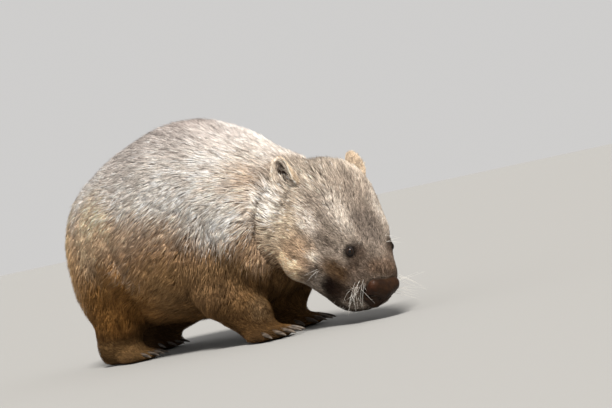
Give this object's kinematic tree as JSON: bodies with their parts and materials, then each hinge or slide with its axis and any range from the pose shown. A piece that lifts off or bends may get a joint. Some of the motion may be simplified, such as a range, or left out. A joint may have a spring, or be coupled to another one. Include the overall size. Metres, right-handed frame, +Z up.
{
  "type": "wombat",
  "caption": "Life-size still model of a common wombat in mid stride, head lowered and nose near the ground, on flat soles.",
  "frame": {"origin": "middle of the bottom of the bounding box, on the floor that the soles rest on", "axes": "+X is the way the animal faces and its longest extent, +Y its left side, +Z up"},
  "size_m": [0.6202, 0.3184, 0.3513],
  "materials": {
    "coat": "dense short fur, grey-brown with a sandy cast, darker on the feet",
    "horn": "dark claws, dull to satin",
    "nose_leather": "bare, finely pebbled, slightly moist",
    "cornea": "wet, near black"
  },
  "bodies": {
    "root": {"fore_leg_right": "coat", "fore_foot_right": "coat", "claw_fore_right_1": "horn", "claw_fore_right_2": "horn", "claw_fore_right_3": "horn", "claw_fore_right_4": "horn", "claw_fore_right_5": "horn", "hind_leg_right": "coat", "hind_foot_right": "coat", "claw_hind_right_1": "horn", "claw_hind_right_2": "horn", "claw_hind_right_3": "horn", "claw_hind_right_4": "horn", "fore_leg_left": "coat", "fore_foot_left": "coat", "claw_fore_left_1": "horn", "claw_fore_left_2": "horn", "claw_fore_left_3": "horn", "claw_fore_left_4": "horn", "claw_fore_left_5": "horn", "hind_leg_left": "coat", "hind_foot_left": "coat", "claw_hind_left_1": "horn", "claw_hind_left_2": "horn", "claw_hind_left_3": "horn", "claw_hind_left_4": "horn", "torso": "coat", "neck": "coat", "head": "coat", "nose": "nose_leather", "tail": "coat", "eye_right": "cornea", "eye_left": "cornea", "ear_right": "coat", "ear_left": "coat"}
  },
  "joints": []
}
